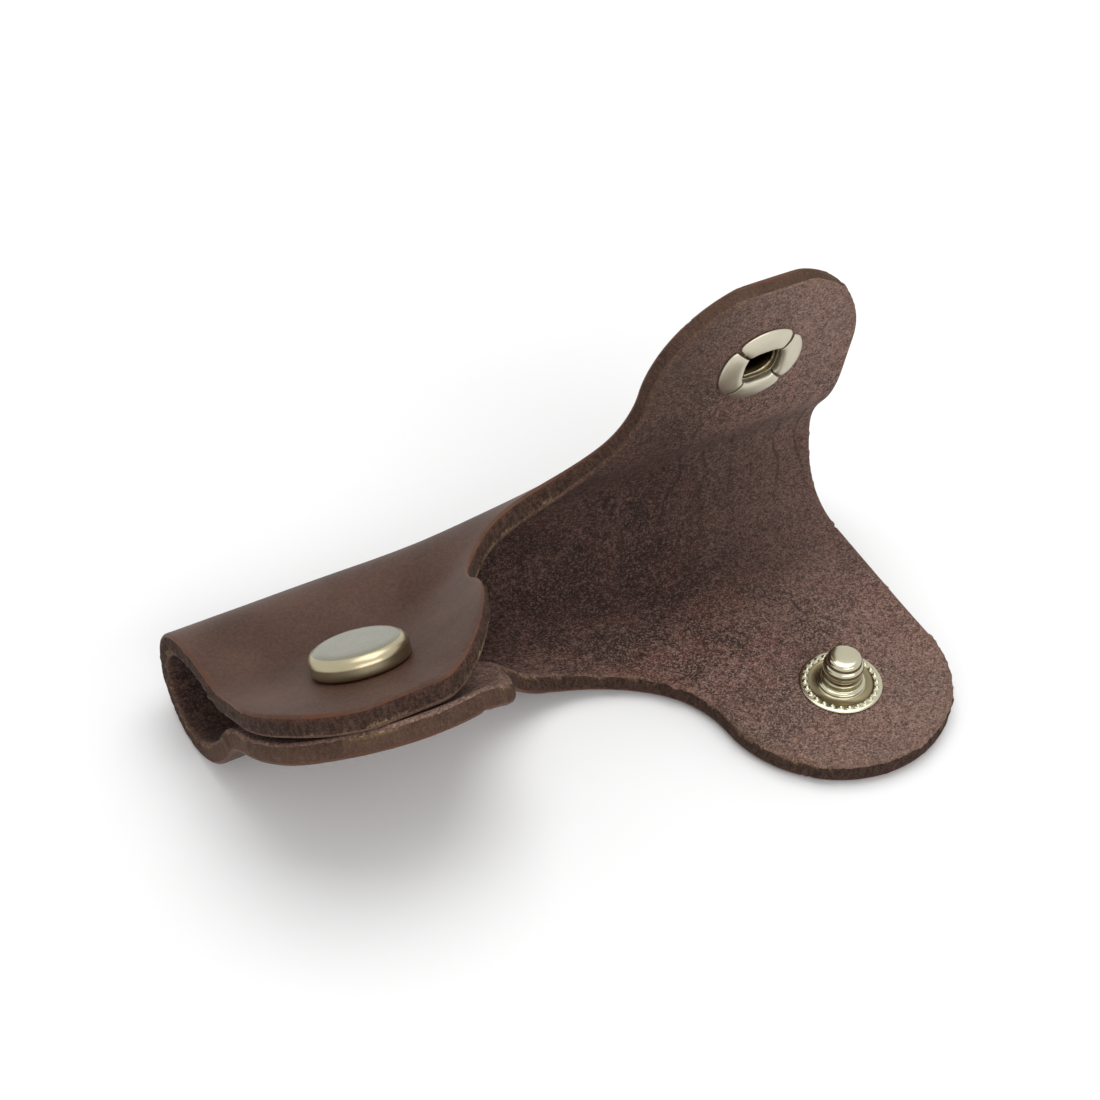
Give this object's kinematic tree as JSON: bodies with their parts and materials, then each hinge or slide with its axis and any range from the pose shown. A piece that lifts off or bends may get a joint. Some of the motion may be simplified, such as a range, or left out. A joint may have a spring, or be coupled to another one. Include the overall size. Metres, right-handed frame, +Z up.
{
  "type": "leather snap wrap",
  "caption": "Brown leather wrap cut to a waisted outline and folded along its spine, with a metal snap fastener closing each end; one end is shut and the other stands open.",
  "frame": {"origin": "on the table under the middle of the whole object's box", "axes": "+X along the spine from the closed end to the open end, -Y towards the lobes' free ends, +Z up"},
  "size_m": [0.0946, 0.055, 0.0527],
  "materials": {
    "leather": "dark brown oiled hide, smooth grain side out, suede-like flesh side in, raw fibrous cut edges",
    "nickel": "nickel plate, satin on the caps and petals, bright on the studs",
    "spring_steel": "drawn spring wire"
  },
  "bodies": {
    "base": {"leather_base": "leather", "left_stud": "nickel", "left_eyelet": "nickel", "right_stud": "nickel", "right_eyelet": "nickel"},
    "left_flap": {"leather_left_flap": "leather", "left_socket": "nickel", "left_spring": "spring_steel", "left_cap_plate": "nickel", "left_cap": "nickel"},
    "right_flap": {"leather_right_flap": "leather", "right_socket": "nickel", "right_spring": "spring_steel", "right_cap_plate": "nickel", "right_cap": "nickel"}
  },
  "joints": [
    {"name": "left_flap_fold", "type": "hinge", "parent": "base", "child": "left_flap", "pos_m": [-0.03055, 0.02532, 0.00471], "axis": [-1, 0, 0], "range_deg": [0, 110]},
    {"name": "right_flap_fold", "type": "hinge", "parent": "base", "child": "right_flap", "pos_m": [0.03055, 0.01996, 0.00603], "axis": [-1, 0, 0], "range_deg": [-77.97, 32]}
  ]
}
